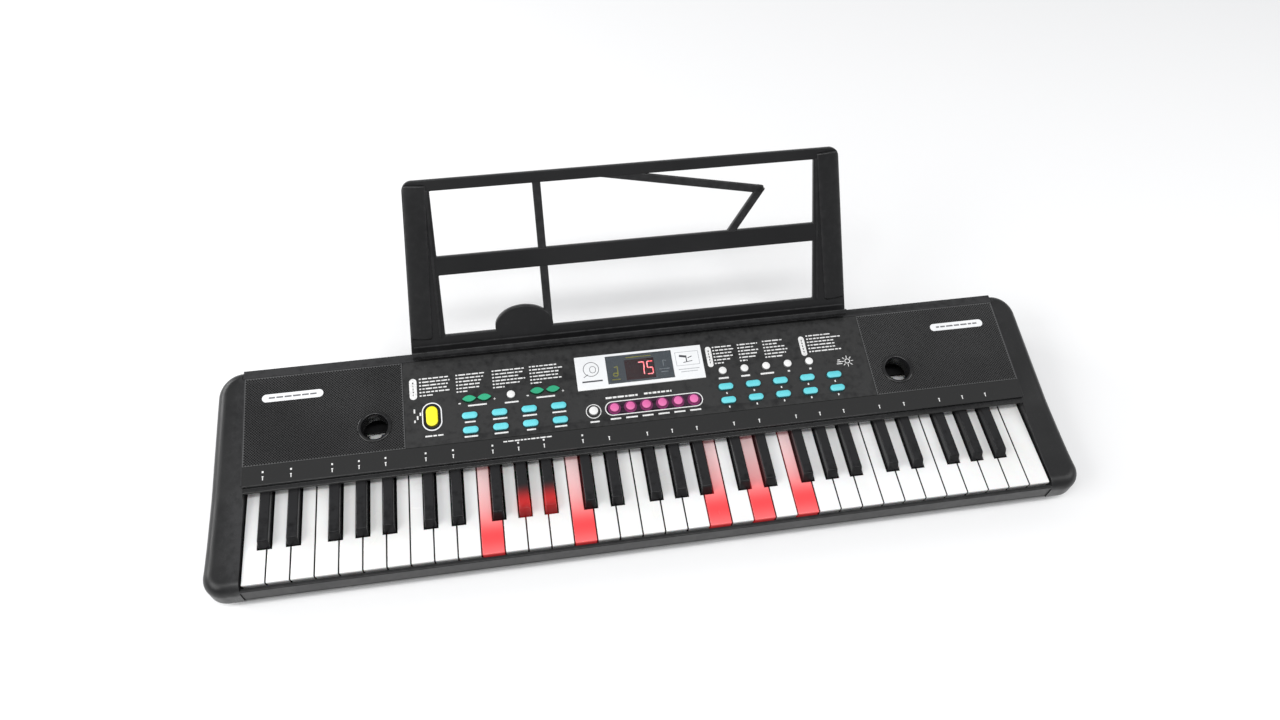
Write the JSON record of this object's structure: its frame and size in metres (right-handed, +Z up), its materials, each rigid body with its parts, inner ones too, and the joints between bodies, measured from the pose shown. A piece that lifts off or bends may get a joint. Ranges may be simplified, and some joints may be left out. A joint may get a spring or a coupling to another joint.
{
  "type": "toy electronic keyboard",
  "caption": "Toy electronic keyboard with mini piano keys, tilted control panel, speaker grilles, display, buttons and a pull-off music stand.",
  "frame": {"origin": "on the surface it stands on, under the centre of the bounding box", "axes": "+X along the row of keys to the treble end, +Y away from the player, +Z up"},
  "size_m": [0.7854, 0.2876, 0.2028],
  "materials": {
    "case_black": "fine satin texture, moulded ABS",
    "base_grey": "moulded, slightly rough",
    "panel_black": "smooth printed panel",
    "lip_black": "polished",
    "grille_mesh": "woven mesh, painted",
    "key_white": "polished",
    "key_black": "satin polish",
    "bezel_white": "smooth",
    "window_smoke": "tinted, clear",
    "digit_red": "lit segments behind a red filter",
    "button_cyan": "soft matt",
    "button_green": "soft matt",
    "button_white": "soft matt",
    "button_pink": "soft matt",
    "button_yellow": "soft matt",
    "port_black": "polished",
    "speaker_grey": "satin",
    "board_green": "solder mask",
    "rubber_dark": "matt",
    "rubber_grey": "matt",
    "felt_red": "pressed felt",
    "chassis_grey": "moulded",
    "steel": "plated",
    "led_white": "lamp bodies on a board",
    "cable_grey": "flat cable"
  },
  "bodies": {
    "case": {"bass_ports": "port_black", "battery_contacts": "steel", "bottom_case": "base_grey", "case_screws": "steel", "control_panel": "panel_black", "digit_display": "digit_red", "display_bezel": "bezel_white", "display_window": "window_smoke", "front_rail": "case_black", "grille_badges": "bezel_white", "headphone_socket": "port_black", "key_chassis": "chassis_grey", "key_contact_board": "board_green", "key_felt": "felt_red", "key_light_strip": "led_white", "left_cheek": "case_black", "left_speaker": "speaker_grey", "left_speaker_grille": "grille_mesh", "main_circuit_board": "board_green", "microphone_socket": "port_black", "note_strip": "lip_black", "panel_circuit_board": "board_green", "power_bezel": "bezel_white", "power_inlet": "steel", "ribbon_cable": "cable_grey", "right_cheek": "case_black", "right_speaker": "speaker_grey", "right_speaker_grille": "grille_mesh", "rubber_contact_strip": "rubber_grey", "rubber_feet": "rubber_dark", "top_case": "case_black"},
    "black_keys_1": {"black_keys_1": "key_black"},
    "black_keys_2": {"black_keys_2": "key_black"},
    "black_keys_3": {"black_keys_3": "key_black"},
    "black_keys_4": {"black_keys_4": "key_black"},
    "black_keys_5": {"black_keys_5": "key_black"},
    "white_key_high_c": {"white_key_high_c": "key_white"},
    "white_keys_ceg_1": {"white_keys_ceg_1": "key_white"},
    "white_keys_ceg_2": {"white_keys_ceg_2": "key_white"},
    "white_keys_ceg_3": {"white_keys_ceg_3": "key_white"},
    "white_keys_ceg_4": {"white_keys_ceg_4": "key_white"},
    "white_keys_ceg_5": {"white_keys_ceg_5": "key_white"},
    "white_keys_dfa_1": {"white_keys_dfa_1": "key_white"},
    "white_keys_dfa_2": {"white_keys_dfa_2": "key_white"},
    "white_keys_dfa_3": {"white_keys_dfa_3": "key_white"},
    "white_keys_dfa_4": {"white_keys_dfa_4": "key_white"},
    "white_keys_dfa_5": {"white_keys_dfa_5": "key_white"},
    "power_button": {"power_button": "button_yellow"},
    "volume_buttons": {"volume_buttons": "button_green"},
    "tempo_buttons": {"tempo_buttons": "button_green"},
    "stop_button": {"stop_button": "button_white"},
    "demo_button": {"demo_button": "button_white"},
    "sound_buttons": {"sound_buttons": "button_white"},
    "drum_buttons": {"drum_buttons": "button_pink"},
    "left_upper_buttons": {"left_upper_buttons": "button_cyan"},
    "left_lower_buttons": {"left_lower_buttons": "button_cyan"},
    "right_upper_buttons": {"right_upper_buttons": "button_cyan"},
    "right_lower_buttons": {"right_lower_buttons": "button_cyan"},
    "music_stand": {"music_stand": "case_black"},
    "battery_door": {"battery_door": "base_grey"}
  },
  "joints": [
    {"name": "black_keys_1_press", "type": "hinge", "parent": "case", "child": "black_keys_1", "pos_m": [0, 0.00417, 0.028], "axis": [1, 0, 0], "range_deg": [0, 2.7], "stiffness_Nm_per_rad": 0.35, "springref_deg": -20.05},
    {"name": "black_keys_2_press", "type": "hinge", "parent": "case", "child": "black_keys_2", "pos_m": [0, 0.00417, 0.028], "axis": [1, 0, 0], "range_deg": [0, 2.7], "stiffness_Nm_per_rad": 0.35, "springref_deg": -20.05},
    {"name": "black_keys_3_press", "type": "hinge", "parent": "case", "child": "black_keys_3", "pos_m": [0, 0.00417, 0.028], "axis": [1, 0, 0], "range_deg": [0, 2.7], "stiffness_Nm_per_rad": 0.35, "springref_deg": -20.05},
    {"name": "black_keys_4_press", "type": "hinge", "parent": "case", "child": "black_keys_4", "pos_m": [0, 0.00417, 0.028], "axis": [1, 0, 0], "range_deg": [0, 2.7], "stiffness_Nm_per_rad": 0.35, "springref_deg": -20.05},
    {"name": "black_keys_5_press", "type": "hinge", "parent": "case", "child": "black_keys_5", "pos_m": [0, 0.00417, 0.028], "axis": [1, 0, 0], "range_deg": [0, 2.7], "stiffness_Nm_per_rad": 0.35, "springref_deg": -20.05},
    {"name": "white_key_high_c_press", "type": "hinge", "parent": "case", "child": "white_key_high_c", "pos_m": [0, 0.00417, 0.021], "axis": [1, 0, 0], "range_deg": [0, 2.7], "stiffness_Nm_per_rad": 0.09, "springref_deg": -20.05},
    {"name": "white_keys_ceg_1_press", "type": "hinge", "parent": "case", "child": "white_keys_ceg_1", "pos_m": [0, 0.00417, 0.021], "axis": [1, 0, 0], "range_deg": [0, 2.7], "stiffness_Nm_per_rad": 0.35, "springref_deg": -20.05},
    {"name": "white_keys_ceg_2_press", "type": "hinge", "parent": "case", "child": "white_keys_ceg_2", "pos_m": [0, 0.00417, 0.021], "axis": [1, 0, 0], "range_deg": [0, 2.7], "stiffness_Nm_per_rad": 0.35, "springref_deg": -20.05},
    {"name": "white_keys_ceg_3_press", "type": "hinge", "parent": "case", "child": "white_keys_ceg_3", "pos_m": [0, 0.00417, 0.021], "axis": [1, 0, 0], "range_deg": [0, 2.7], "stiffness_Nm_per_rad": 0.35, "springref_deg": -20.05},
    {"name": "white_keys_ceg_4_press", "type": "hinge", "parent": "case", "child": "white_keys_ceg_4", "pos_m": [0, 0.00417, 0.021], "axis": [1, 0, 0], "range_deg": [0, 2.7], "stiffness_Nm_per_rad": 0.35, "springref_deg": -20.05},
    {"name": "white_keys_ceg_5_press", "type": "hinge", "parent": "case", "child": "white_keys_ceg_5", "pos_m": [0, 0.00417, 0.021], "axis": [1, 0, 0], "range_deg": [0, 2.7], "stiffness_Nm_per_rad": 0.35, "springref_deg": -20.05},
    {"name": "white_keys_dfa_1_press", "type": "hinge", "parent": "case", "child": "white_keys_dfa_1", "pos_m": [0, 0.00417, 0.0245], "axis": [1, 0, 0], "range_deg": [0, 2.7], "stiffness_Nm_per_rad": 0.35, "springref_deg": -20.05},
    {"name": "white_keys_dfa_2_press", "type": "hinge", "parent": "case", "child": "white_keys_dfa_2", "pos_m": [0, 0.00417, 0.0245], "axis": [1, 0, 0], "range_deg": [0, 2.7], "stiffness_Nm_per_rad": 0.35, "springref_deg": -20.05},
    {"name": "white_keys_dfa_3_press", "type": "hinge", "parent": "case", "child": "white_keys_dfa_3", "pos_m": [0, 0.00417, 0.0245], "axis": [1, 0, 0], "range_deg": [0, 2.7], "stiffness_Nm_per_rad": 0.35, "springref_deg": -20.05},
    {"name": "white_keys_dfa_4_press", "type": "hinge", "parent": "case", "child": "white_keys_dfa_4", "pos_m": [0, 0.00417, 0.0245], "axis": [1, 0, 0], "range_deg": [0, 2.7], "stiffness_Nm_per_rad": 0.35, "springref_deg": -20.05},
    {"name": "white_keys_dfa_5_press", "type": "hinge", "parent": "case", "child": "white_keys_dfa_5", "pos_m": [0, 0.00417, 0.0245], "axis": [1, 0, 0], "range_deg": [0, 2.7], "stiffness_Nm_per_rad": 0.35, "springref_deg": -20.05},
    {"name": "power_button_press", "type": "slide", "parent": "case", "child": "power_button", "axis": [0, 0.1305, -0.9914], "range_m": [0, 0.0012], "stiffness_N_per_m": 250, "springref_m": -0.002},
    {"name": "volume_buttons_press", "type": "slide", "parent": "case", "child": "volume_buttons", "axis": [0, 0.1305, -0.9914], "range_m": [0, 0.0012], "stiffness_N_per_m": 250, "springref_m": -0.002},
    {"name": "tempo_buttons_press", "type": "slide", "parent": "case", "child": "tempo_buttons", "axis": [0, 0.1305, -0.9914], "range_m": [0, 0.0012], "stiffness_N_per_m": 250, "springref_m": -0.002},
    {"name": "stop_button_press", "type": "slide", "parent": "case", "child": "stop_button", "axis": [0, 0.1305, -0.9914], "range_m": [0, 0.0012], "stiffness_N_per_m": 250, "springref_m": -0.002},
    {"name": "demo_button_press", "type": "slide", "parent": "case", "child": "demo_button", "axis": [0, 0.1305, -0.9914], "range_m": [0, 0.0012], "stiffness_N_per_m": 250, "springref_m": -0.002},
    {"name": "sound_buttons_press", "type": "slide", "parent": "case", "child": "sound_buttons", "axis": [0, 0.1305, -0.9914], "range_m": [0, 0.0012], "stiffness_N_per_m": 250, "springref_m": -0.002},
    {"name": "drum_buttons_press", "type": "slide", "parent": "case", "child": "drum_buttons", "axis": [0, 0.1305, -0.9914], "range_m": [0, 0.0012], "stiffness_N_per_m": 250, "springref_m": -0.002},
    {"name": "left_upper_buttons_press", "type": "slide", "parent": "case", "child": "left_upper_buttons", "axis": [0, 0.1305, -0.9914], "range_m": [0, 0.0012], "stiffness_N_per_m": 250, "springref_m": -0.002},
    {"name": "left_lower_buttons_press", "type": "slide", "parent": "case", "child": "left_lower_buttons", "axis": [0, 0.1305, -0.9914], "range_m": [0, 0.0012], "stiffness_N_per_m": 250, "springref_m": -0.002},
    {"name": "right_upper_buttons_press", "type": "slide", "parent": "case", "child": "right_upper_buttons", "axis": [0, 0.1305, -0.9914], "range_m": [0, 0.0012], "stiffness_N_per_m": 250, "springref_m": -0.002},
    {"name": "right_lower_buttons_press", "type": "slide", "parent": "case", "child": "right_lower_buttons", "axis": [0, 0.1305, -0.9914], "range_m": [0, 0.0012], "stiffness_N_per_m": 250, "springref_m": -0.002},
    {"name": "stand_lift", "type": "slide", "parent": "case", "child": "music_stand", "axis": [0, 0.5299, 0.848], "range_m": [0, 0.03]},
    {"name": "battery_door_off", "type": "slide", "parent": "case", "child": "battery_door", "axis": [0, 0, -1], "range_m": [0, 0.03]}
  ]
}
